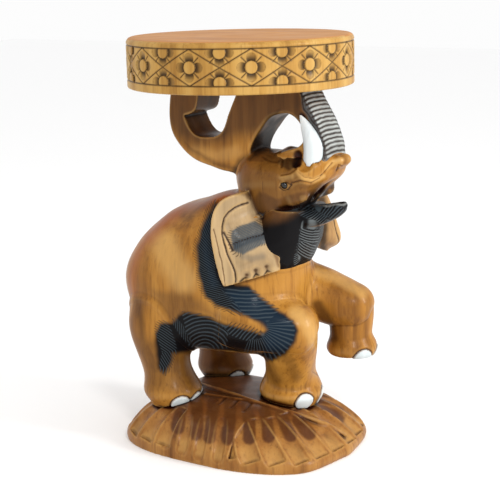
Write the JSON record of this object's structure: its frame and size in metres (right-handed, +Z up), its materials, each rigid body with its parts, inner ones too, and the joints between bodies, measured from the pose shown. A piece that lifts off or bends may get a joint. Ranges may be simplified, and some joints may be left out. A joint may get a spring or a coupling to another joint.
{
  "type": "carved elephant stool",
  "caption": "Round-topped wooden stool carved as an elephant whose raised, curled trunk carries the seat, standing on a leaf-shaped base.",
  "frame": {"origin": "on the floor under the axis of the round seat", "axes": "+X the way the elephant faces, +Y to the elephant's left, +Z up"},
  "size_m": [0.3387, 0.3216, 0.553],
  "materials": {
    "varnished_wood": "golden brown varnish, semi-gloss",
    "leaf_wood": "red-brown varnish, semi-gloss",
    "ear_wood": "pale tan varnish, semi-gloss",
    "black_stained_wood": "black stain under varnish",
    "white_paint": "white paint, satin",
    "black_bead": "polished",
    "dowel_wood": "bare"
  },
  "bodies": {
    "root": {"seat_top": "varnished_wood", "trunk": "varnished_wood", "head": "varnished_wood", "torso": "varnished_wood", "foreleg_right": "varnished_wood", "foreleg_left": "varnished_wood", "hindleg_right": "varnished_wood", "hindleg_left": "varnished_wood", "leaf_base": "leaf_wood", "lower_jaw": "black_stained_wood", "ear_right": "ear_wood", "ear_left": "ear_wood", "tusk_right": "white_paint", "tusk_left": "white_paint", "eye_right": "black_bead", "eye_left": "black_bead", "seat_dowels": "dowel_wood", "trunk_dowels": "dowel_wood", "neck_dowel": "dowel_wood", "jaw_dowel": "dowel_wood", "leg_dowels": "dowel_wood", "foot_dowels": "dowel_wood", "ear_pegs": "dowel_wood"}
  },
  "joints": []
}
